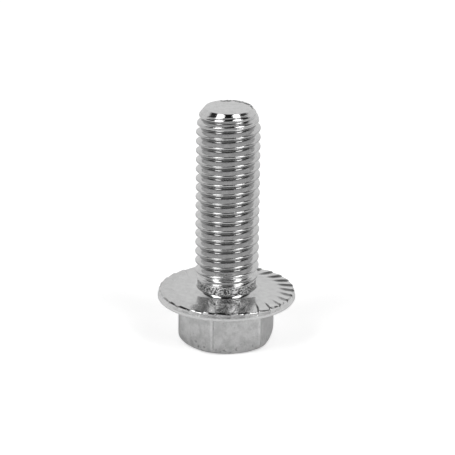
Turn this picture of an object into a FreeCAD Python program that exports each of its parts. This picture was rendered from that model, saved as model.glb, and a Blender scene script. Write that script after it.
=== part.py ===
import FreeCAD, Part
import math
import os

from FreeCAD import Vector

# Serrated hexagon flange bolt standing on its head: +Z runs from the bearing face to the tip.
# The origin is the centre of the bearing face. Lengths are in millimetres, angles in degrees.

# Thread: metric coarse, right hand
THREAD_D = 10.0
PITCH = 1.5
SHANK_LENGTH = 29.9
CREST_ALLOWANCE = 0.02
THREAD_DEPTH = 17 / 24 * math.sqrt(3) / 2 * PITCH
THREAD_END_DEG = -80.0

# Plain neck under the thread
NECK_D = 9.15
NECK_FLARE = 1.2
NECK_FLARE_BEND = 0.4
LEAST_NECK = 0.05
CREST_RUN_OUT = 1.0
ROOT_RUN_OUT = 1.7

# Tip
END_FACE_D = 7.3
END_CONE_DEG = 38.0
TAPER_DEG = 12.8
TAPER_LENGTH = 3.2
LAND_LENGTH = 0.55
LAND_CLEARANCE = 0.1
ROOT_FADE = 0.8

# Flange
FLANGE_D = 21.6
RIM_HEIGHT = 1.3
RIM_BEVEL = 0.3
CONE_DEG = 18.0

# Locking teeth in the bearing face
TEETH = 30
TEETH_INNER_D = 14.6
TOOTH_DEPTH = 0.2
TOOTH_SWEEP_DEG = 11.5
TOOTH_START_DEG = 8.0

# Hexagon drive
ACROSS_FLATS = 13.7
CORNER_R = 1.3
HEAD_HEIGHT = 8.35
HEAD_END_D = 13.4
RELIEF_HEIGHT = 1.6
HEX_CORNER_DEG = 15.0

PIECES = 3
POINTS_PER_PIECE = 8
CUT_MARGIN = 0.5

CREST_R = THREAD_D / 2 - CREST_ALLOWANCE
ROOT_R = THREAD_D / 2 - THREAD_DEPTH
NECK_R = NECK_D / 2
FLANGE_R = FLANGE_D / 2
END_FACE_R = END_FACE_D / 2
LAND_Z = SHANK_LENGTH - LAND_LENGTH
THREAD_TOP = LAND_Z - LAND_CLEARANCE
STEPS = math.floor(PIECES * (THREAD_TOP - NECK_FLARE - LEAST_NECK) / PITCH + 1e-6)
THREAD_START = THREAD_TOP - STEPS * PITCH / PIECES
THREAD_START_DEG = THREAD_END_DEG - 360 * STEPS / PIECES
CORNER_REACH = (ACROSS_FLATS / 2 - CORNER_R) / math.cos(math.radians(30)) + CORNER_R


def polar(radius, degrees, z):
    angle = math.radians(degrees)
    return Vector(radius * math.cos(angle), radius * math.sin(angle), z)


def blend(x, x0, x1, y0, y1):
    share = min(max((x - x0) / (x1 - x0), 0.0), 1.0)
    return y0 + share * (y1 - y0)


def revolved(profile):
    corners = [Vector(r, 0, z) for r, z in profile + profile[:1]]
    return Part.Face(Part.makePolygon(corners)).revolve(Vector(), Vector(0, 0, 1), 360)


def crest_radius(z):
    foot = THREAD_START + PITCH
    grown = blend(z, foot, foot + CREST_RUN_OUT, NECK_R, CREST_R)
    below_tip = SHANK_LENGTH - z
    taper = CREST_R - (TAPER_LENGTH - below_tip) * math.tan(math.radians(TAPER_DEG))
    cone = END_FACE_R + below_tip * math.tan(math.radians(END_CONE_DEG))
    return min(grown, taper, cone)


def root_radius(z):
    foot = THREAD_START + PITCH / 2
    top = THREAD_TOP - PITCH / 2
    sunk = blend(z, foot, foot + ROOT_RUN_OUT, NECK_R, ROOT_R)
    flush = (crest_radius(THREAD_TOP) + crest_radius(THREAD_TOP - PITCH)) / 2
    return blend(z, top - ROOT_FADE, top, sunk, flush)


def land_radius():
    """The land ring lies on the line through the last turn's two ends, where the groove closes."""
    last = crest_radius(THREAD_TOP)
    fall = crest_radius(THREAD_TOP - PITCH) - last
    return last - fall * LAND_CLEARANCE / PITCH


def helix_piece(piece, lift, radius_at):
    points = []
    for i in range(POINTS_PER_PIECE + 1):
        turns = (piece + i / POINTS_PER_PIECE) / PIECES
        z = THREAD_START + lift + turns * PITCH
        points.append(polar(radius_at(z), THREAD_START_DEG + 360 * turns, z))
    curve = Part.BSplineCurve()
    curve.interpolate(points)
    return curve.toShape()


def circle_pieces(radius, z, first):
    pieces = []
    for i in range(PIECES):
        angles = [first + 360 * (i + share) / PIECES for share in (0, 0.5, 1)]
        pieces.append(Part.Arc(*[polar(radius, angle, z) for angle in angles]).toShape())
    return pieces


def threaded_shank():
    """Flanks are ruled between a crest helix and a root helix that both run out into plain rings."""
    crests = [helix_piece(i, 0.0, crest_radius) for i in range(STEPS)]
    roots = [helix_piece(i, PITCH / 2, root_radius) for i in range(STEPS - PIECES)]
    foot = circle_pieces(NECK_R, NECK_FLARE, THREAD_START_DEG)
    land = circle_pieces(land_radius(), LAND_Z, THREAD_END_DEG)
    end = circle_pieces(END_FACE_R, SHANK_LENGTH, THREAD_END_DEG)
    strips = list(zip(foot, crests)) + list(zip(crests, roots)) + list(zip(roots, crests[PIECES:]))
    strips += list(zip(crests[-PIECES:], land)) + list(zip(land, end))
    faces = [Part.Face(Part.Wire(foot)), Part.Face(Part.Wire(end))]
    for lower, upper in strips:
        faces += Part.makeRuledSurface(lower, upper).Faces
    shell = Part.Shell(faces)
    shell.sewShape()
    return Part.Solid(shell)


def flange():
    inner = ACROSS_FLATS / 2
    bevel_r = FLANGE_R - RIM_BEVEL
    slope = math.tan(math.radians(CONE_DEG))
    return revolved([
        (0, NECK_FLARE),
        (NECK_R, NECK_FLARE),
        (NECK_R + NECK_FLARE_BEND, NECK_FLARE_BEND),
        (NECK_R + NECK_FLARE, 0),
        (FLANGE_R, 0),
        (FLANGE_R, RIM_BEVEL - RIM_HEIGHT),
        (bevel_r, -RIM_HEIGHT),
        (inner, -RIM_HEIGHT - (bevel_r - inner) * slope),
        (0, -RIM_HEIGHT - (bevel_r - inner) * slope),
    ])


def tooth_space():
    """One ramp from a tooth's crest line down to the foot of the next tooth's steep side."""
    pitch = 360 / TEETH
    inner = TEETH_INNER_D / 2
    outer = FLANGE_R + CUT_MARGIN
    a, b = TOOTH_START_DEG, TOOTH_START_DEG + pitch
    near_in, near_out = polar(inner, a, 0), polar(outer, a - TOOTH_SWEEP_DEG, 0)
    far_in, far_out = polar(inner, b, 0), polar(outer, b - TOOTH_SWEEP_DEG, 0)
    foot = far_out - Vector(0, 0, TOOTH_DEPTH)
    up = Vector(0, 0, CUT_MARGIN)
    polygons = [
        [near_in, near_out, foot],
        [near_in, foot, far_in],
        [near_in + up, near_out + up, far_out + up, far_in + up],
        [near_in, near_in + up, near_out + up, near_out],
        [near_in, far_in, far_in + up, near_in + up],
        [far_in, foot, far_out + up, far_in + up],
        [near_out, near_out + up, far_out + up, foot],
    ]
    faces = [Part.Face(Part.makePolygon(corners + corners[:1])) for corners in polygons]
    return Part.Solid(Part.Shell(faces))


def tooth_spaces():
    first = tooth_space()
    spaces = []
    for i in range(TEETH):
        space = first.copy()
        space.rotate(Vector(), Vector(0, 0, 1), 360 * i / TEETH)
        spaces.append(space)
    return spaces


def hexagon():
    reach = (ACROSS_FLATS / 2 - CORNER_R) / math.cos(math.radians(30))
    corners = []
    for i in range(6):
        middle = HEX_CORNER_DEG + 60 * i
        centre = polar(reach, middle, -HEAD_HEIGHT)
        corners.append([centre + polar(CORNER_R, middle + turn, 0) for turn in (-30, 0, 30)])
    edges = []
    for corner, following in zip(corners, corners[1:] + corners[:1]):
        edges.append(Part.Arc(*corner).toShape())
        edges.append(Part.makeLine(corner[2], following[0]))
    prism = Part.Face(Part.Wire(edges)).extrude(Vector(0, 0, HEAD_HEIGHT - RIM_HEIGHT))
    side = CORNER_REACH + CUT_MARGIN
    rise = RELIEF_HEIGHT * (side - HEAD_END_D / 2) / (CORNER_REACH - HEAD_END_D / 2)
    relief = revolved([
        (0, -HEAD_HEIGHT),
        (HEAD_END_D / 2, -HEAD_HEIGHT),
        (side, rise - HEAD_HEIGHT),
        (side, 0),
        (0, 0),
    ])
    return prism.common(relief)


def flange_bolt():
    head = flange().cut(tooth_spaces()).fuse(hexagon())
    return head.fuse(threaded_shank()).removeSplitter()


bolt = flange_bolt()
os.makedirs("parts", exist_ok=True)
bolt.exportStep("parts/flange_bolt.step")
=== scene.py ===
# %% [markdown]
# # A zinc-plated flange bolt
# The real object is one piece of forged steel that stands on its head, tip up: a hexagon to turn
# it by, a flange with locking teeth that bite into the work, a short plain neck, and a rolled
# thread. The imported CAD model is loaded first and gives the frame: every size below is in that
# frame, with the origin in the middle of the bearing face and +Z towards the tip.

import math

import bmesh
import bpy
from mathutils import Matrix, Vector


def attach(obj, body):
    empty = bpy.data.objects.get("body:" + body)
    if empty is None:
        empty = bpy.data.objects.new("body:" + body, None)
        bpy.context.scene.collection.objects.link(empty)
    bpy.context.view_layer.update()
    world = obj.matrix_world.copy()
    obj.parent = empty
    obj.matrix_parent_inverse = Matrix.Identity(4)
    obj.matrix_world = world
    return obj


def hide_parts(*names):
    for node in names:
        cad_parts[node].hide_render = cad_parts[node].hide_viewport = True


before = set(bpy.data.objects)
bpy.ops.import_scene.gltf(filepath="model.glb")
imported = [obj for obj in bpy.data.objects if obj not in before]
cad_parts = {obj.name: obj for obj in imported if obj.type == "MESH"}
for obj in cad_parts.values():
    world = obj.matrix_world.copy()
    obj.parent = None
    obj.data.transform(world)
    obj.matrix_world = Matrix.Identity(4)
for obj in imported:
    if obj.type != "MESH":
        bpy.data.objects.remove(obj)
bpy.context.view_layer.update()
NODE = "flange_bolt"
MM = 0.001

# %% [markdown]
# ## Helpers for node trees
# Geometry Nodes and materials are both trees of nodes, and a formula in them takes one Math node
# for each sign. The class below lets the outputs of nodes add and multiply like numbers, so that
# every recipe further down reads like a sum and not like a list of links.

# %% Values that come out of nodes


class Value:
    """A node's output. Values add, subtract, multiply and divide through Math nodes."""

    def __init__(self, socket):
        self.socket = socket
        self.tree = socket.id_data

    def __add__(self, other):
        return calc("ADD", self, other)

    def __radd__(self, other):
        return calc("ADD", other, self)

    def __sub__(self, other):
        return calc("SUBTRACT", self, other)

    def __rsub__(self, other):
        return calc("SUBTRACT", other, self)

    def __mul__(self, other):
        return calc("MULTIPLY", self, other)

    def __rmul__(self, other):
        return calc("MULTIPLY", other, self)

    def __truediv__(self, other):
        return calc("DIVIDE", self, other)

    def __rtruediv__(self, other):
        return calc("DIVIDE", other, self)


# %% Adding nodes


def add(tree, kind, inputs=None, **settings):
    """Adds a node. Its inputs go by name or number, each a plain value or another node's Value."""
    made = tree.nodes.new(kind)
    for name, setting in settings.items():
        setattr(made, name, setting)
    for key, given in (inputs or {}).items():
        if isinstance(given, Value):
            tree.links.new(given.socket, made.inputs[key])
        else:
            made.inputs[key].default_value = given
    return made


def value(tree, kind, inputs=None, output=0, **settings):
    """Adds a node and gives one of its outputs, by name or number."""
    return Value(add(tree, kind, inputs, **settings).outputs[output])


def calc(operation, *values):
    """A Math node's result. At least one of the values is a Value, the others may be numbers."""
    tree = next(v.tree for v in values if isinstance(v, Value))
    return value(tree, "ShaderNodeMath", dict(enumerate(values)), operation=operation)


def feed(result, socket):
    """Links a Value to a socket of a node that is there already."""
    result.tree.links.new(result.socket, socket)


# %% Places


def parts(place):
    """A point's x, y and z."""
    return [Value(out) for out in add(place.tree, "ShaderNodeSeparateXYZ", {0: place}).outputs]


def off_axis(x, y):
    """The distance from the bolt's axis."""
    flat = value(x.tree, "ShaderNodeCombineXYZ", {0: x, 1: y})
    return value(x.tree, "ShaderNodeVectorMath", {0: flat}, "Value", operation="LENGTH")


# %% Ramps


def ramp(given, start, end, low=0.0, high=1.0, smooth=True):
    """Runs from low at start to high at end, and stays level outside."""
    sockets = {"Value": given, "From Min": start, "From Max": end, "To Min": low, "To Max": high}
    kind = "SMOOTHSTEP" if smooth else "LINEAR"
    return value(given.tree, "ShaderNodeMapRange", sockets, "Result", interpolation_type=kind)


def rise(length, start, end):
    """0 before start and 1 after end, both in mm."""
    return ramp(length, start * MM, end * MM)


def fall(length, start, end):
    """1 before start and 0 after end, both in mm."""
    return ramp(length, start * MM, end * MM, 1.0, 0.0)


def band(length, start, full, last, end):
    """1 between full and last, and 0 before start and after end, all in mm."""
    return rise(length, start, full) * fall(length, last, end)


def turn_ramp(angle, start, end, low=0.0, high=1.0):
    """A ramp between two angles in degrees."""
    return ramp(angle, math.radians(start), math.radians(end), low, high)


# %% [markdown]
# ## Helpers for Geometry Nodes
# A tree of Geometry Nodes is a recipe with named sizes. One helper starts such a tree, one ends
# it with real geometry and a material, and one runs it on a mesh and keeps the plain result, so
# that nothing of the recipe has to stay live in the file.

# %% Geometry tree helpers


def geometry_tree(name, sizes):
    """A new tree with one named input for each size, and those inputs as Values."""
    tree = bpy.data.node_groups.new(name, "GeometryNodeTree")
    tree.interface.new_socket("Geometry", in_out="INPUT", socket_type="NodeSocketGeometry")
    for label, given in sizes.items():
        kind = "NodeSocketInt" if isinstance(given, int) else "NodeSocketFloat"
        tree.interface.new_socket(label, in_out="INPUT", socket_type=kind)
    tree.interface.new_socket("Material", in_out="INPUT", socket_type="NodeSocketMaterial")
    tree.interface.new_socket("Geometry", in_out="OUTPUT", socket_type="NodeSocketGeometry")
    group = add(tree, "NodeGroupInput")
    return tree, {out.name: Value(out) for out in group.outputs if out.name}


def end_tree(tree, geometry, material):
    """The last three nodes of every tree: real geometry, its material, the output."""
    solid = value(tree, "GeometryNodeRealizeInstances", {"Geometry": geometry})
    coated = value(tree, "GeometryNodeSetMaterial", {"Geometry": solid, "Material": material})
    add(tree, "NodeGroupOutput", {0: coated})


def run_tree(mesh, tree, sizes, material):
    """Runs the tree on a mesh with these sizes and gives back the plain mesh that it makes."""
    holder = bpy.data.objects.new(tree.name, mesh)
    bpy.context.scene.collection.objects.link(holder)
    modifier = holder.modifiers.new("nodes", "NODES")
    modifier.node_group = tree
    values = dict(sizes, Material=material)
    for item in tree.interface.items_tree:
        if item.in_out == "INPUT" and item.name in values:
            modifier[item.identifier] = values[item.name]
    evaluated = holder.evaluated_get(bpy.context.evaluated_depsgraph_get())
    result = bpy.data.meshes.new_from_object(evaluated)
    holder.modifiers.remove(modifier)
    bpy.data.objects.remove(holder)
    print(tree.name, "made", len(result.vertices), "points and", len(result.polygons), "faces")
    return result


# %% [markdown]
# ## The thread
# A rolled thread is one groove that climbs round the shank by one pitch each turn. It could be
# swept or screwed from a profile, but both leave a rough start and end. Here a long ribbon of
# faces follows it: across the ribbon lies one thread form, and each turn sits on the turn below,
# so the crest lines run along the edges of the mesh and stay clean. Rows that would pass the
# ends are pressed onto the end rings, and merging the points closes all.

# %% Thread sizes
NECK_R = 4.575
END_FACE_R = 3.65
THREAD = {
    "Turns": 21,
    "Columns": 150,
    "Rows": 20,
    "Pitch": 1.5 * MM,
    "Start Angle": math.radians(28.8),
    "Start Height": 1.25 * MM,
    "End Height": 29.5 * MM,
    "Crest Radius": 4.98 * MM,
    "Root Radius": 4.08 * MM,
    "Full Depth": 0.9 * MM,
    "Neck Radius": NECK_R * MM,
    "Crest Width": 0.22 * MM,
    "Crest Rounding": 0.13,
    "Root Rounding": 0.2,
    "Root Tilt": 0.085 * MM,
    "Length": 29.9 * MM,
}

# %% [markdown]
# The dies that roll the thread end before the neck does, so the first turns grow out of it: the
# crest swells over the neck, the root sinks in two steps, and a small lip of pushed-up metal
# stays between them. At the tip the last turns taper into a cone.

# %% Run-out and tip sizes
THREAD.update({
    "Die End": 2.1 * MM,
    "Die Edge": 0.1 * MM,
    "Crest Run-out": 1.7 * MM,
    "Crest Start Radius": 4.78 * MM,
    "Root Run-out": 2.2 * MM,
    "Root Last Step": 0.8 * MM,
    "Root Start Radius": 4.80 * MM,
    "Root Bend Radius": 4.36 * MM,
    "Lip": 0.11 * MM,
    "End Face Radius": END_FACE_R * MM,
    "End Cone Slope": math.tan(math.radians(38.0)),
    "Cone Rounding": 0.06 * MM,
    "Taper Slope": math.tan(math.radians(12.8)),
    "Taper Length": 3.2 * MM,
    "Seam": 0.09 * MM,
    "Seam Width": 0.09 * MM,
})
FLANK_SLOPE = 1 / math.tan(math.radians(30.0))
print("sizes of the thread:", len(THREAD))

# %% [markdown]
# The ribbon starts as a flat grid. Its length counts the turns and its width is one thread form.
# The rows stand closer at the crest and the root, where the form bends.

# %% The ribbon and its climb
thread_tree, size = geometry_tree("rolled_thread", THREAD)
ribbon = value(thread_tree, "GeometryNodeMeshGrid", {
    "Size X": size["Turns"],
    "Size Y": 1.0,
    "Vertices X": size["Turns"] * size["Columns"] + 1,
    "Vertices Y": size["Rows"] + 1,
}, "Mesh")
along, across, _ = parts(value(thread_tree, "GeometryNodeInputPosition"))
turn = along + size["Turns"] * 0.5 - 1
row = across + 0.5
BUNCHING = 4 * math.pi
row = row - calc("SINE", row * BUNCHING) * (0.5 / BUNCHING)

climbed = calc("MAXIMUM", (turn + row) * size["Pitch"], 0)
climbed = calc("MINIMUM", climbed, size["End Height"] - size["Start Height"])
phase = climbed / size["Pitch"] - turn
thread_z = climbed + size["Start Height"]
from_crest = calc("PINGPONG", phase, 0.5) * size["Pitch"]
print("points of the ribbon:", (THREAD["Turns"] * THREAD["Columns"] + 1) * (THREAD["Rows"] + 1))

# %% Crest and cone
die_end = size["Die End"]
full_crest = die_end + size["Crest Run-out"]
grown = ramp(thread_z, die_end, full_crest, size["Crest Start Radius"], size["Crest Radius"], False)
below_tip = size["Length"] - thread_z
taper = size["Crest Radius"] - (size["Taper Length"] - below_tip) * size["Taper Slope"]
cone = size["End Face Radius"] + below_tip * size["End Cone Slope"]
crest = calc("MINIMUM", grown, taper)
print("full crest from", round((THREAD["Die End"] + THREAD["Crest Run-out"]) / MM, 2), "mm up")

# %% [markdown]
# From one crest up to the next, the metal in the groove first falls away slowly, then jumps up
# at the lip and falls away again. The lip fades out where the root has its full depth.

# %% Root and lip
LIP_FOOT, LIP_TOP, LIP_END = 0.43, 0.5, 0.9
LIP_FADE = (3.3, 4.2)
full_root = die_end + size["Root Run-out"]
bend = full_root - size["Root Last Step"]
bend_r = size["Root Bend Radius"]
shallow = ramp(thread_z, die_end, bend, size["Root Start Radius"], bend_r, False)
deep = ramp(thread_z, bend, full_root, bend_r, size["Root Radius"], False)
lip = ramp(phase, LIP_FOOT, LIP_TOP, 0.0, 2.0) - ramp(phase, 0.0, LIP_FOOT, smooth=False)
lip = lip - ramp(phase, LIP_TOP, LIP_END, smooth=False)
lip = lip * size["Lip"] * fall(thread_z, *LIP_FADE)
root = calc("MINIMUM", shallow, deep) + lip
print("full root from", round((THREAD["Die End"] + THREAD["Root Run-out"]) / MM, 2), "mm up")

# %% [markdown]
# Crest, flanks and root meet in small radii, as the dies leave them, so the three are blended
# by smooth minimum and maximum. The root leans a little, and near the tip the crest carries the
# fine seam where the metal from both flanks has met.

# %% Thread form
ROOT_FROM, ROOT_TO = 0.36, 0.64
SEAM_FADE = (27.6, 28.9)
depth = crest - root
flank = size["Crest Radius"] - (from_crest - size["Crest Width"] * 0.5) * FLANK_SLOPE
form = calc("SMOOTH_MIN", crest, flank, depth * size["Crest Rounding"])
tilt = ramp(phase, ROOT_FROM, ROOT_TO, 1.0, -1.0, False) * size["Root Tilt"]
tilted = root + tilt * (depth / size["Full Depth"])
form = calc("SMOOTH_MAX", tilted, form, depth * size["Root Rounding"])
under_die = ramp(thread_z, die_end - size["Die Edge"], die_end + size["Die Edge"])
form = (form - size["Neck Radius"]) * under_die + size["Neck Radius"]
seam = ramp(from_crest, 0.0, size["Seam Width"], 1.0, 0.0) * size["Seam"]
seam = seam * rise(thread_z, *SEAM_FADE)
thread_r = calc("SMOOTH_MIN", form, cone, size["Cone Rounding"]) - seam
print("nodes of the thread tree:", len(thread_tree.nodes))

# %% [markdown]
# At last the ribbon is rolled up: each point's turn gives its angle, and height and radius are
# known. The zinc is only named here. Its recipe follows once the shape is done.

# %% Roll the ribbon up
zinc = bpy.data.materials.new("bright_zinc")
MERGE = 0.002 * MM
angle = turn * (2 * math.pi) + size["Start Angle"]
spot = value(thread_tree, "ShaderNodeCombineXYZ", {
    0: thread_r * calc("COSINE", angle),
    1: thread_r * calc("SINE", angle),
    2: thread_z,
})
rolled = value(thread_tree, "GeometryNodeSetPosition", {"Geometry": ribbon, "Position": spot})
closed = value(thread_tree, "GeometryNodeMergeByDistance", {"Geometry": rolled, "Distance": MERGE})
end_tree(thread_tree, closed, size["Material"])
thread = run_tree(bpy.data.meshes.new("ribbon"), thread_tree, THREAD, zinc)

# %% [markdown]
# ## From the thread to the tip and down to the flange
# The rest of the forging is round or nearly so. A lathe profile would do for the round part, but
# it would not meet the thread point for point. So the mesh is grown from the thread's own end
# rings, ring by ring: up to the flat end face, and down over the neck to the head. That way the
# whole bolt is one closed mesh.

# %% Ring helpers
bolt_mesh = bmesh.new()
bolt_mesh.from_mesh(thread)


def end_ring(z):
    """The points of the thread's end ring at this height, in order round the axis."""
    ring = [v for v in bolt_mesh.verts if abs(v.co.z - z) < 0.001 * MM]
    return sorted(ring, key=lambda v: math.atan2(v.co.y, v.co.x) % (2 * math.pi))


def join(ring, following):
    """Faces between two rings, of which the second may have twice the points."""
    many = len(following) // len(ring)
    for i, point in enumerate(ring):
        beside = ring[(i + 1) % len(ring)]
        if many == 1:
            bolt_mesh.faces.new([point, beside, following[(i + 1) % len(ring)], following[i]])
        else:
            a, middle, b = (following[(2 * i + k) % len(following)] for k in range(3))
            for corners in ((point, middle, a), (point, beside, middle), (beside, b, middle)):
                bolt_mesh.faces.new(corners)
    return following


def new_ring(angles, radius_at, z_at):
    """A ring of points. The radius and the height are functions of the angle."""
    ring = []
    for a in angles:
        r = radius_at(a)
        ring.append(bolt_mesh.verts.new((r * math.cos(a), r * math.sin(a), z_at(a))))
    return ring


# %% Turned parts


def turned(ring, profile, angles):
    """Round rings through the profile's points (radius, height in mm), joined one after another."""
    for r, z in profile:
        ring = join(ring, new_ring(angles, lambda _: r * MM, lambda _: z * MM))
    return ring


def cap(ring, z):
    """Closes a ring with a fan of faces."""
    middle = bolt_mesh.verts.new((0, 0, z))
    for i, point in enumerate(ring):
        bolt_mesh.faces.new([point, ring[(i + 1) % len(ring)], middle])


def arc(cx, cz, r, start, end, steps):
    """Points of an arc in the (radius, height) plane, angles in degrees from the outward side."""
    points = []
    for i in range(steps + 1):
        a = math.radians(start + (end - start) * i / steps)
        points.append((cx + r * math.cos(a), cz + r * math.sin(a)))
    return points


COLUMNS = THREAD["Columns"]
shank_angles = [2 * math.pi * i / COLUMNS for i in range(COLUMNS)]
top_ring = end_ring(THREAD["End Height"])
neck_ring = end_ring(THREAD["Start Height"])
print("points on the end rings:", len(top_ring), len(neck_ring))

# %% [markdown]
# The end face is flat with a barely rounded edge. On the right and at the back stands what looks
# like the burr of a shear, a few hundredths of a millimetre high. One uneven ring of points
# makes it, because only real geometry catches the light from every side.

# %% Tip
END_EDGE_R = 0.06
END_FACE_Z = 29.87
BURR = 0.03
BURR_MIDDLE_DEG = 50
BURR_END_DEG = 66
BURR_FADE_DEG = 12


def burr_top(a):
    """The burr's height at an angle, uneven along its length."""
    off = abs((math.degrees(a) - BURR_MIDDLE_DEG + 180) % 360 - 180)
    share = min(max((BURR_END_DEG - off) / BURR_FADE_DEG, 0.0), 1.0)
    uneven = 0.75 + 0.25 * math.sin(9 * a) * math.sin(22 * a)
    return (END_FACE_Z + BURR * share * uneven) * MM


cone_foot = (3.884, 29.6)
end_edge = arc(END_FACE_R, END_FACE_Z - END_EDGE_R, END_EDGE_R, 38, 84, 4)
tip_ring = turned(top_ring, [cone_foot] + end_edge, shank_angles)
tip_ring = join(tip_ring, new_ring(shank_angles, lambda _: 3.59 * MM, burr_top))
tip_ring = turned(tip_ring, [(r, END_FACE_Z) for r in (3.53, 3.47, 2.6, 1.3)], shank_angles)
cap(tip_ring, END_FACE_Z * MM)
print("top of the burr mm:", round(max(burr_top(a) for a in shank_angles) / MM, 3))

# %% [markdown]
# The fillet under the neck keeps the head from breaking off. It is a little wider than high,
# and shows as a thin bright ring round the neck's foot. An arc of 14 steps makes it, because
# a mirror-like coat shows every step of a coarser one.

# %% Fillet
FILLET_WIDTH, FILLET_HEIGHT = 0.95, 0.8
fillet = []
for inwards, down in arc(0, 0, 1, 180, 270, 14):
    fillet.append((NECK_R + FILLET_WIDTH * (1 + inwards), FILLET_HEIGHT * (1 + down)))
flange_ring = turned(neck_ring, fillet, shank_angles)
print("fillet ends at (radius, height) mm:", [round(c, 3) for c in fillet[-1]])

# %% [markdown]
# ## Flange and hexagon
# The bearing face, the rim, the conical underside and the hexagon follow as rings too. A disc
# cut with Boolean teeth would leave long thin faces that shade badly. So from the teeth inwards
# the columns swing with the teeth, and every tooth's crest lies on an edge of the mesh.

# %% Teeth layout
FLANGE_R = 10.8
TEETH_R = 7.3
TEETH = {
    "Teeth": 30,
    "Inner Radius": TEETH_R * MM,
    "Outer Radius": FLANGE_R * MM,
    "Depth": 0.19 * MM,
    "Sweep": math.radians(10.3),
    "Start": math.radians(8.0),
    "Steep Share": 0.09,
    "Full Depth Share": 0.6,
}
TOOTH_PITCH = 2 * math.pi / TEETH["Teeth"]
SHARES = [0.0, 0.05, 0.14, 0.26, 0.39, 0.52, 0.65, 0.77, 0.85, 0.9]
head_columns = TEETH["Teeth"] * len(SHARES)
even_angles = [2 * math.pi * i / head_columns for i in range(head_columns)]


def swung_angles(r):
    """The columns' angles at a radius (mm): even inside the teeth, on the tooth lines over them."""
    out = min(max((r - TEETH_R) / (FLANGE_R - TEETH_R), 0.0), 1.0)
    angles = []
    for number in range(TEETH["Teeth"]):
        for share in SHARES:
            angles.append(TEETH["Start"] + (number + share) * TOOTH_PITCH - out * TEETH["Sweep"])
    return angles


print("columns round the head:", head_columns)

# %% [markdown]
# In the photo the rim's edge stands a little higher than a flat face would put it, so the face
# rises by 0.15 mm from the teeth's inner ends to the rim. That is a reading of the photo and not
# a measured size. The rim's upper edge is a small radius, and its side stands nearly upright.

# %% Bearing face and rim
DISH = 0.15
RIM_EDGE, RIM_R = 10.38, 0.25
RIM_BOTTOM, RIM_LOW_R = -1.3, 0.4
face_ring = join(flange_ring, new_ring(even_angles, lambda _: 6.3 * MM, lambda _: 0.0))
# The last even ring and the first swung one differ by part of a column at most.
first = round((TEETH["Start"] % TOOTH_PITCH) / (2 * math.pi / head_columns))
face_ring = face_ring[first:] + face_ring[:first]
for r in [TEETH_R, 7.7, 8.1, 8.5, 8.9, 9.3, 9.7, 10.1, RIM_EDGE]:
    risen = DISH * (r - TEETH_R) / (RIM_EDGE - TEETH_R)
    face_ring = turned(face_ring, [(r, risen)], swung_angles(r))

rim_angles = swung_angles(FLANGE_R)
rim = arc(RIM_EDGE, DISH - RIM_R, RIM_R, 80, 8, 8)
rim += [(10.66, -0.25), (10.7, -0.45), (10.75, -0.68)]
rim += arc(FLANGE_R - RIM_LOW_R, RIM_BOTTOM + RIM_LOW_R, RIM_LOW_R, 0, -72, 5)
rim_ring = turned(face_ring, rim, rim_angles)
print("rings over the rim:", len(rim))

# %% [markdown]
# The hexagon's corners come out of the die rounded, and its lower end is drawn in. Its outline
# is given as a distance from the axis for each angle, which lets the same columns that cross
# the flange run on down the flats without a seam.

# %% Hexagon outline
FLATS_R = 6.85
CORNER_R = 1.2
CORNER_ANGLE = math.radians(15.0)
HEAD_HEIGHT = 8.35
RELIEF_HEIGHT, RELIEF_FOOT_R, RELIEF_BULGE = 2.2, 6.0, 1.9


def hexagon_radius(a):
    """Distance from the axis to the hexagon's side with rounded corners, in mm."""
    sixth = math.pi / 3
    off = (a - CORNER_ANGLE + sixth / 2) % sixth - sixth / 2
    side = FLATS_R / math.cos(sixth / 2 - abs(off))
    centre = (FLATS_R - CORNER_R) / math.cos(sixth / 2)
    reach = CORNER_R ** 2 - (centre * math.sin(off)) ** 2
    rounded = centre * math.cos(off) + math.sqrt(max(reach, 0.0))
    across_corner = CORNER_R * math.sin(sixth / 2)
    tangent = math.atan2(across_corner, centre + CORNER_R * math.cos(sixth / 2))
    return rounded if abs(off) < tangent else side


def relief_radius(z):
    """The rounded end of the head as forged, in mm."""
    up = min((z + HEAD_HEIGHT) / RELIEF_HEIGHT, 1.0)
    return RELIEF_FOOT_R + RELIEF_BULGE * math.sqrt(max(1 - (1 - up) ** 2, 0.0))


def smooth_min(a, b, k):
    """The lesser of two numbers, with the corner between them rounded."""
    h = max(k - abs(a - b), 0.0) / k
    return min(a, b) - h ** 3 * k / 6


print("across rounded corners mm:", round(2 * hexagon_radius(CORNER_ANGLE), 2))

# %% [markdown]
# The underside is a shallow cone that takes the load from the hexagon out to the rim. Each of
# its rings lies part of the way between two outlines, the round rim and the hexagon.

# %% Underside
CONE_SLOPE = math.tan(math.radians(18.0))
UNDERSIDE_R = FLANGE_R - RIM_LOW_R


def underside_z(r):
    """The conical underside's height at a radius, in mm."""
    return RIM_BOTTOM - (UNDERSIDE_R - r) * CONE_SLOPE


def underside_r(a, share):
    """The radius part of the way in from the rim to the hexagon, in mm."""
    return UNDERSIDE_R + share * (hexagon_radius(a) - UNDERSIDE_R)


for share in [0.15, 0.4, 0.7, 0.92, 1.0]:
    rim_ring = join(rim_ring, new_ring(
        rim_angles,
        lambda a: underside_r(a, share) * MM,
        lambda a: underside_z(underside_r(a, share)) * MM,
    ))
print("the flats start at mm:", round(underside_z(FLATS_R), 2))

# %% Hexagon sides and end
SIDE_ROWS = 40
END_STEP = 0.02
RELIEF_ROUNDING = 0.5


def side_z(a, share):
    """The height part of the way down the hexagon's side, in mm."""
    top = underside_z(hexagon_radius(a))
    return top + share * (END_STEP - HEAD_HEIGHT - top)


def side_r(a, share):
    """The hexagon's side with its drawn-in end, in mm."""
    return smooth_min(hexagon_radius(a), relief_radius(side_z(a, share)), RELIEF_ROUNDING)


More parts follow.
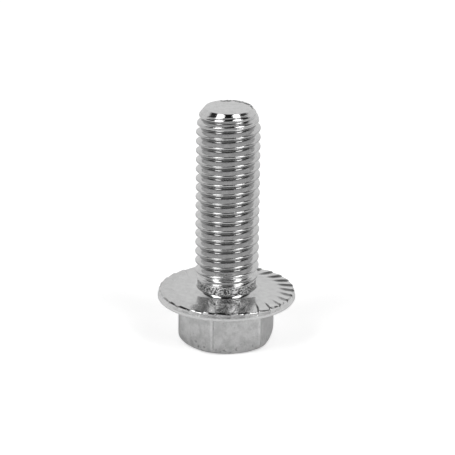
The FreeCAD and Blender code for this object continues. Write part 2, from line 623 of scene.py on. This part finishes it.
for i in range(1, SIDE_ROWS + 1):
    share = i / SIDE_ROWS
    rim_ring = join(rim_ring, new_ring(
        rim_angles,
        lambda a: side_r(a, share) * MM,
        lambda a: side_z(a, share) * MM,
    ))
head_ring = turned(rim_ring, [(r, -HEAD_HEIGHT) for r in (5.9, 4.0, 2.0)], rim_angles)
cap(head_ring, -HEAD_HEIGHT * MM)
print("points of the bolt so far:", len(bolt_mesh.verts))

# %% [markdown]
# Rings that grew upwards and rings that grew downwards face opposite ways, so all faces are
# turned outwards together. A count of open edges says whether the mesh is closed.

# %% Close the blank
bmesh.ops.recalc_face_normals(bolt_mesh, faces=bolt_mesh.faces)
blank = bpy.data.meshes.new("blank")
bolt_mesh.to_mesh(blank)
open_edges = sum(1 for e in bolt_mesh.edges if len(e.link_faces) != 2)
print("open edges:", open_edges, "volume mm3:", round(bolt_mesh.calc_volume() / MM ** 3, 1))
bolt_mesh.free()

# %% [markdown]
# ## The locking teeth
# The teeth are pressed into the bearing face: each is a ramp with one steep side, which bites
# when the bolt turns back. One tooth could be modelled and copied round, but then its ends would
# have to be joined to the face. The tree lowers the face itself instead, by a sawtooth round the
# axis that swings outwards and grows deeper towards the rim.

# %% Place on a tooth


def tooth_place(radius, around, size):
    """How far out over the teeth a point lies, and how far across its own tooth, both 0 to 1."""
    out = ramp(radius, size["Inner Radius"], size["Outer Radius"], smooth=False)
    swing = out * size["Sweep"] - size["Start"]
    pitch = 2 * math.pi / size["Teeth"]
    return out, calc("FRACT", (around + swing) / pitch + size["Teeth"])


# %% Teeth tree
FACE_FADE = (-0.7, -0.1)
MARGIN = 0.1 * MM
teeth_tree, size = geometry_tree("locking_teeth", TEETH)
x, y, z = parts(value(teeth_tree, "GeometryNodeInputPosition"))
radius = off_axis(x, y)
out, tooth = tooth_place(radius, calc("ARCTAN2", y, x), size)
foot = 1.0 - size["Steep Share"]
sawtooth = ramp(tooth, 0.0, foot, smooth=False) * ramp(tooth, foot, 1.0, 1.0, 0.0, False)
inside = calc("GREATER_THAN", size["Outer Radius"] + MARGIN, radius)
lowered = sawtooth * size["Depth"] * ramp(out, 0.0, size["Full Depth Share"])
lowered = lowered * rise(z, *FACE_FADE) * inside
shift = value(teeth_tree, "ShaderNodeCombineXYZ", {2: lowered * -1})
moved = {"Geometry": size["Geometry"], "Offset": shift}
end_tree(teeth_tree, value(teeth_tree, "GeometryNodeSetPosition", moved), size["Material"])
body = run_tree(blank, teeth_tree, TEETH, zinc)

# %% [markdown]
# ## The finish: bright zinc plating
# Barrel plating leaves a thin silvery coat. It is a metal through and through, so the shader is
# fully metallic, and what changes from place to place is how bright, how rough and how bumpy it
# is. A painted picture could say that too, but zones given by height and distance from the axis
# stay sharp from near by and follow the shape by themselves.

# %% Start of the coat
zinc.use_nodes = True
coat = zinc.node_tree
shader = coat.nodes["Principled BSDF"]
shader.inputs["Metallic"].default_value = 1.0
place = value(coat, "ShaderNodeTexCoord", output="Object")
x, y, height = parts(place)
radius = off_axis(x, y)
around = calc("ARCTAN2", y, x)


def noise(scale, detail=2.0):
    """Cloudy noise over the bolt, with about as many spots in a metre as the scale says."""
    return value(coat, "ShaderNodeTexNoise", {"Vector": place, "Scale": scale, "Detail": detail})


grain = noise(5500.0)
mottle = noise(900.0, 4.0)
spots = noise(2300.0, 1.0)

# %% [markdown]
# The coat shows what lies under it. The rolled thread is smooth, and its root is painted darker,
# a painted shade for the groove; the neck keeps the coarse skin of the forging, the bearing face
# is satin, and head and rim are mottled where the dies touched them.

# %% Zones of the coat
# Painted shade: the thread's root is darkened in colour, where shade falls in the groove.
painted_root_shade = fall(radius, 4.14, 4.30) * band(height, 2.8, 3.4, 28.3, 28.8)
neck_zone = band(height, 0.5, 0.7, 1.75, 2.1) * fall(radius, 4.8, 5.0)
face_zone = band(radius, 5.4, 6.0, 8.8, 9.6) * rise(height, -0.5, -0.2)
head_zone = fall(height, -1.5, -0.4)
rim_zone = rise(radius, 10.3, 10.6) * ramp(height, -1.5 * MM, -0.1 * MM, 1.0, 0.3)
print("nodes of the coat after its zones:", len(coat.nodes))

# %% [markdown]
# Tumbling in the barrel leaves small pits on the head, most of them near its lower end. A thin
# dark line of painted shade follows each corner of the hexagon, broken here and there, and beside
# it runs a pale strip of painted highlight.

# %% Marks on the head
low_down = ramp(height, -7.6 * MM, -5.0 * MM, 0.12, 0.0)
pits = ramp(spots + low_down, 0.72, 0.80) * head_zone
beside = calc("WRAP", around - CORNER_ANGLE, math.radians(30), math.radians(-30))
# Painted shade: a thin dark line along each corner. Painted highlight: a pale strip beside it.
painted_corner_shade = turn_ramp(calc("ABSOLUTE", beside), 0.2, 0.9, 1.0, 0.0)
painted_corner_shade = painted_corner_shade * band(height, -7.6, -6.6, -2.2, -1.9) * ramp(mottle, 0.4, 0.6, 0.2, 1.0)
painted_corner_highlight = turn_ramp(beside, -5.0, -3.0) * turn_ramp(beside, -1.5, 0.0, 1.0, 0.0) * head_zone
print("nodes of the coat after the head:", len(coat.nodes))

# %% [markdown]
# The neck is speckled, which looks like the skin of the forging under a thin coat. The crests of
# the thread carry a broken line of painted shade, and so does the inside of the end face's burr.

# %% Marks on the neck, the thread and the tip
speckle = neck_zone * ramp(noise(4200.0, 1.0), 0.48, 0.56)
# Painted shade: a broken dark line along the crests of the thread.
painted_crest_shade = rise(radius, 4.92, 4.96) * ramp(noise(1700.0), 0.35, 0.6, 0.3, 1.0)
painted_crest_shade = painted_crest_shade * band(height, 4.0, 5.0, 27.5, 28.0)
# Painted shade: a dark line inside the burr of the end face, on the right and at the back.
off_burr = around - math.radians(BURR_MIDDLE_DEG)
off_burr = calc("ABSOLUTE", calc("WRAP", off_burr, math.pi, -math.pi))
painted_burr_shade = rise(radius + y * 0.24, 3.42, 3.48) * rise(height, 29.8, 29.84)
painted_burr_shade = painted_burr_shade * turn_ramp(off_burr, BURR_END_DEG - 8, BURR_END_DEG, 1.0, 0.0)
painted_burr_shade = painted_burr_shade * ramp(spots, 0.4, 0.5)

# %% [markdown]
# The rim's upper edge carries short dashes of painted shade, most of them on the side that the
# camera sees, and the steep side of each tooth carries painted shade too. The teeth's own numbers
# place those marks, so they stay on the teeth if the sizes change.

# %% Marks on the rim and the teeth
# Painted shade: dark dashes on the rim's upper edge, stronger on the camera's side.
painted_rim_shade = band(radius, 10.28, 10.4, 10.62, 10.65) * rise(height, -0.14, -0.04)
painted_rim_shade = painted_rim_shade * ramp(noise(800.0), 0.44, 0.52) * ramp(y, -3.0 * MM, -7.0 * MM, 0.25, 1.0)
out, tooth = tooth_place(radius, around, TEETH)
# Painted shade: the steep side of each tooth is darkened.
painted_riser_shade = ramp(tooth, 0.86, 0.91) * ramp(tooth, 0.97, 1.0, 1.0, 0.0)
painted_riser_shade = painted_riser_shade * ramp(out, 0.25, 0.6) * rise(height, -0.4, -0.2)
print("nodes of the coat after its marks:", len(coat.nodes))

# %% [markdown]
# Now zones and marks are added up. Zinc has hardly any hue, so one number is the colour: a pale
# grey with fine grain, lighter where highlight and sheen are painted, darker where the coat is dull
# and where shade is painted, but never quite black.

# %% Colour of the coat
DARKEST = 0.93
bright = 0.41 + grain * 0.24 + ramp(mottle, 0.35, 0.65) * 0.05
# Painted highlight: pale strips beside the corners. Painted sheen: the rim's side is made lighter.
bright = bright + painted_corner_highlight * 0.08 + rim_zone * 0.16 + ramp(height, -1.0 * MM, -0.3 * MM, 0.0, 0.02)
# The pits and the head's mottle, together with painted shade on root, corners, crests, burr, rim
# and teeth.
dull_and_painted_shade = painted_root_shade * 0.6 + pits * 0.4 + head_zone * ramp(mottle, 0.3, 0.6, 0.12, 0.0)
dull_and_painted_shade = dull_and_painted_shade + painted_corner_shade * 0.55 + painted_burr_shade * 0.9 + speckle * 0.85
dull_and_painted_shade = dull_and_painted_shade + painted_crest_shade * 0.3 + painted_rim_shade * 0.9 + painted_riser_shade * 0.5
bright = bright * (1.0 - calc("MINIMUM", dull_and_painted_shade, DARKEST))
grey = value(coat, "ShaderNodeCombineColor", {0: bright, 1: bright, 2: bright})
feed(grey, shader.inputs["Base Color"])

# %% [markdown]
# The roughness says how sharp the room shows in the coat: a little blurred on the thread, more
# on the head and the rim. The bumps are too fine to model: a few hundredths of a millimetre at
# most, and somewhat more only on the rough neck.

# %% Roughness and bumps of the coat
rough = ramp(mottle, 0.3, 0.7, 0.09, 0.15)
rough = rough + face_zone * 0.04 + head_zone * 0.08 + rim_zone * 0.12 + neck_zone * 0.06
feed(rough, shader.inputs["Roughness"])
bumps = grain * 0.009 + noise(3400.0, 3.0) * (neck_zone * 0.17 + rim_zone * 0.04)
bumps = bumps + head_zone * (mottle * 0.03 + pits * -0.01)
feed(value(coat, "ShaderNodeBump", {"Height": bumps, "Distance": MM}), shader.inputs["Normal"])
print("nodes of the coat:", len(coat.nodes))

# %% [markdown]
# ## The finished bolt
# The mesh becomes an object at the origin, as the CAD node is. It rides on the root body and
# takes the place of the CAD node.

# %% Hand over
body.name = "bolt"
body.shade_smooth()
bolt = bpy.data.objects.new("bolt", body)
bpy.context.scene.collection.objects.link(bolt)
print("triangles:", sum(len(p.vertices) - 2 for p in body.polygons))

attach(bolt, "root")
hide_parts(NODE)

# %% [markdown]
# ## The floor
# The bolt stands on white paper, which keeps the bolt's own soft shadow. The paper glows a
# little for camera rays, so that it reads as plain white. In the bolt's mirror-like coat it
# glows only where it lies open to the lamps: behind the bolt and close under it the paper is in
# shade, and the head should show that.

# %% Floor
floor_mesh = bpy.data.meshes.new("floor")
floor_mesh.from_pydata([(-3, -3, 0), (3, -3, 0), (3, 3, 0), (-3, 3, 0)], [], [(0, 1, 2, 3)])
floor_mesh.transform(Matrix.Translation((0, 0, -HEAD_HEIGHT * MM)))
floor = bpy.data.objects.new("floor", floor_mesh)
bpy.context.scene.collection.objects.link(floor)
print("the floor lies at mm:", -HEAD_HEIGHT)

# %% White paper
paper = bpy.data.materials.new("white_paper")
paper.use_nodes = True
sheet = paper.node_tree
shader = sheet.nodes["Principled BSDF"]
shader.inputs["Base Color"].default_value = (0.85, 0.85, 0.85, 1.0)
shader.inputs["Roughness"].default_value = 0.9
shader.inputs["Specular IOR Level"].default_value = 0.0
shader.inputs["Emission Color"].default_value = (1, 1, 1, 1)
x, y, _ = parts(value(sheet, "ShaderNodeTexCoord", output="Object"))
distance = off_axis(x, y)
shaded = fall(distance, 15, 45) * ramp(y / distance, -0.8, 0.6)
open_paper = (1.0 - shaded) * rise(distance, 7, 14)
path = add(sheet, "ShaderNodeLightPath").outputs
by_camera = Value(path["Is Camera Ray"]) * 0.46
by_gloss = Value(path["Is Glossy Ray"]) * open_paper * 0.16
feed(by_camera + by_gloss, shader.inputs["Emission Strength"])
floor_mesh.materials.append(paper)
print("nodes of the paper:", len(sheet.nodes))

# %% [markdown]
# ## The room
# Bright zinc shows its room more than itself. The room is pale behind the bolt, less so on the
# camera's side, and dim overhead. Dark panels stand between the lamps and outside them, which
# gives the dark streaks between the bright ones on thread and neck. It could be built from real
# walls, but a world shader that reads the direction does the same and casts no shadows.

# %% World
world = bpy.data.worlds.new("studio")
bpy.context.scene.world = world
world.use_nodes = True
sky = world.node_tree
background = sky.nodes["Background"]
background.inputs["Color"].default_value = (1, 1, 1, 1)
x, y, z = parts(value(sky, "ShaderNodeTexCoord", output="Generated"))
azimuth = calc("ABSOLUTE", calc("ARCTAN2", x, y * -1))
elevation = calc("ARCSINE", z)

middle_panel = turn_ramp(azimuth, 30, 36, 1.0, 0.0)
outer_panels = turn_ramp(azimuth, 62, 70) * turn_ramp(azimuth, 98, 106, 1.0, 0.0)
panel_height = turn_ramp(elevation, 9, 18) * turn_ramp(elevation, 70, 84, 1.0, 0.0)
panels = (middle_panel + outer_panels) * panel_height
wall = turn_ramp(elevation, 40, 66, 0.86, 0.2) * turn_ramp(azimuth, 80, 110, 0.6, 1.0)
room = wall * (1 - panels * 0.95)
by_camera = value(sky, "ShaderNodeLightPath", output="Is Camera Ray")
feed(calc("MAXIMUM", by_camera, room), background.inputs["Strength"])
print("nodes of the world:", len(sky.nodes))

# %% [markdown]
# ## The lamps
# Two tall soft boxes stand left and right of the camera. Each gives one of the two bright
# streaks on the shank. Area lamps are used because a mirror-like metal shows the lamp's own
# shape, and a point lamp would leave only a dot.

# %% Soft boxes


def soft_box(name, azimuth, elevation, distance, width, height, power):
    """An area lamp that faces the bolt. The azimuth counts from the camera's side, rightwards."""
    light = bpy.data.lights.new(name, "AREA")
    light.shape = "RECTANGLE"
    light.size, light.size_y = width, height
    light.energy = power
    a, e = math.radians(azimuth), math.radians(elevation)
    back = Vector((math.sin(a) * math.cos(e), -math.cos(a) * math.cos(e), math.sin(e)))
    lamp = bpy.data.objects.new(name, light)
    lamp.location = back * distance
    lamp.rotation_euler = back.to_track_quat("Z", "Y").to_euler()
    bpy.context.scene.collection.objects.link(lamp)


soft_box("soft_box_left", -47, 38, 1.2, 0.48, 1.0, 5.9)
soft_box("soft_box_right", 47, 38, 1.2, 0.48, 1.0, 5.9)

# %% [markdown]
# ## The camera
# The numbers come from a fit of the flange's ellipse, the shank's edges and the tip to the
# photo: a long lens, 20 degrees above the floor, turned by less than a degree.

# %% Camera
FRAME_PX = 455
CAMERA_DISTANCE = 405.0
CAMERA_ELEVATION = 20.23
CAMERA_ROLL = 0.681
FOCAL_PX = 2605.8
TARGET_Z = 10.261
SHIFT_PX = -0.26

camera_data = bpy.data.cameras.new("camera")
camera_data.sensor_width = 36.0
camera_data.lens = 36.0 * FOCAL_PX / FRAME_PX
camera_data.shift_x = -SHIFT_PX / FRAME_PX
camera_data.clip_start, camera_data.clip_end = 0.01, 20.0
camera = bpy.data.objects.new("camera", camera_data)
lift = math.radians(CAMERA_ELEVATION)
back = Vector((0, -math.cos(lift), math.sin(lift)))
camera.location = Vector((0, 0, TARGET_Z * MM)) + back * CAMERA_DISTANCE * MM
aim = back.to_track_quat("Z", "Y").to_matrix()
camera.rotation_euler = (aim @ Matrix.Rotation(math.radians(CAMERA_ROLL), 3, "Z")).to_euler()
bpy.context.scene.collection.objects.link(camera)
bpy.context.scene.camera = camera
bpy.context.scene.view_settings.view_transform = "Standard"
print("lens in mm:", round(camera_data.lens, 1))
